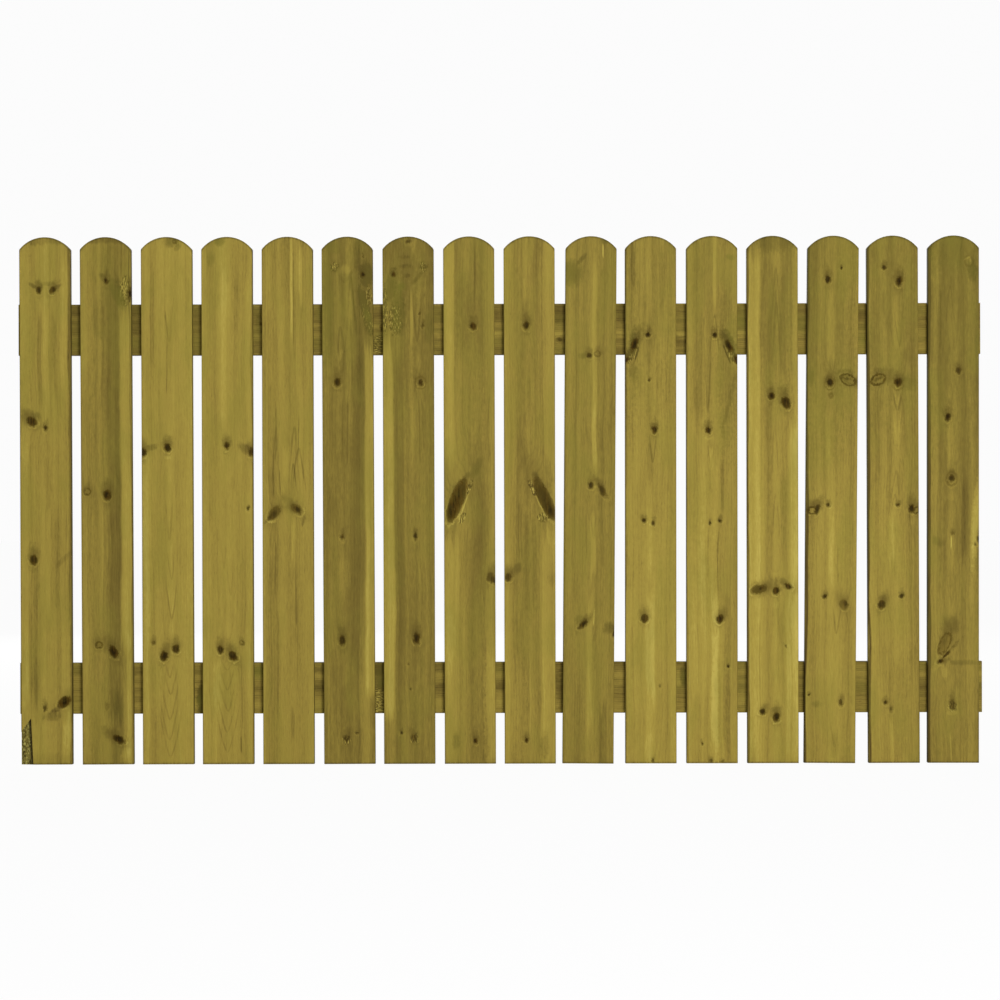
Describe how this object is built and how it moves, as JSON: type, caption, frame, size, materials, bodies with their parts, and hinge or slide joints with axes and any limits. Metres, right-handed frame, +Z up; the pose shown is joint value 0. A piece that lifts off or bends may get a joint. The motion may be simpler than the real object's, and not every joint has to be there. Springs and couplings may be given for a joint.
{
  "type": "wooden picket fence panel",
  "caption": "Flat picket fence panel: round-top upright wooden pales with narrow gaps, nailed across the front of a top and a bottom rail, to be fixed to posts.",
  "frame": {"origin": "middle of the top rail's back face", "axes": "+X along the rails, to the right seen from the front; +Y out of the rails' backs, so the pales face -Y; +Z up"},
  "size_m": [1.832, 0.04, 1.0003],
  "materials": {
    "pale_wood": "planed, pressure-treated softwood",
    "rail_wood": "planed, pressure-treated softwood"
  },
  "bodies": {
    "root": {"pale_01": "pale_wood", "pale_02": "pale_wood", "pale_03": "pale_wood", "pale_04": "pale_wood", "pale_05": "pale_wood", "pale_06": "pale_wood", "pale_07": "pale_wood", "pale_08": "pale_wood", "pale_09": "pale_wood", "pale_10": "pale_wood", "pale_11": "pale_wood", "pale_12": "pale_wood", "pale_13": "pale_wood", "pale_14": "pale_wood", "pale_15": "pale_wood", "pale_16": "pale_wood", "top_rail": "rail_wood", "bottom_rail": "rail_wood"}
  },
  "joints": []
}
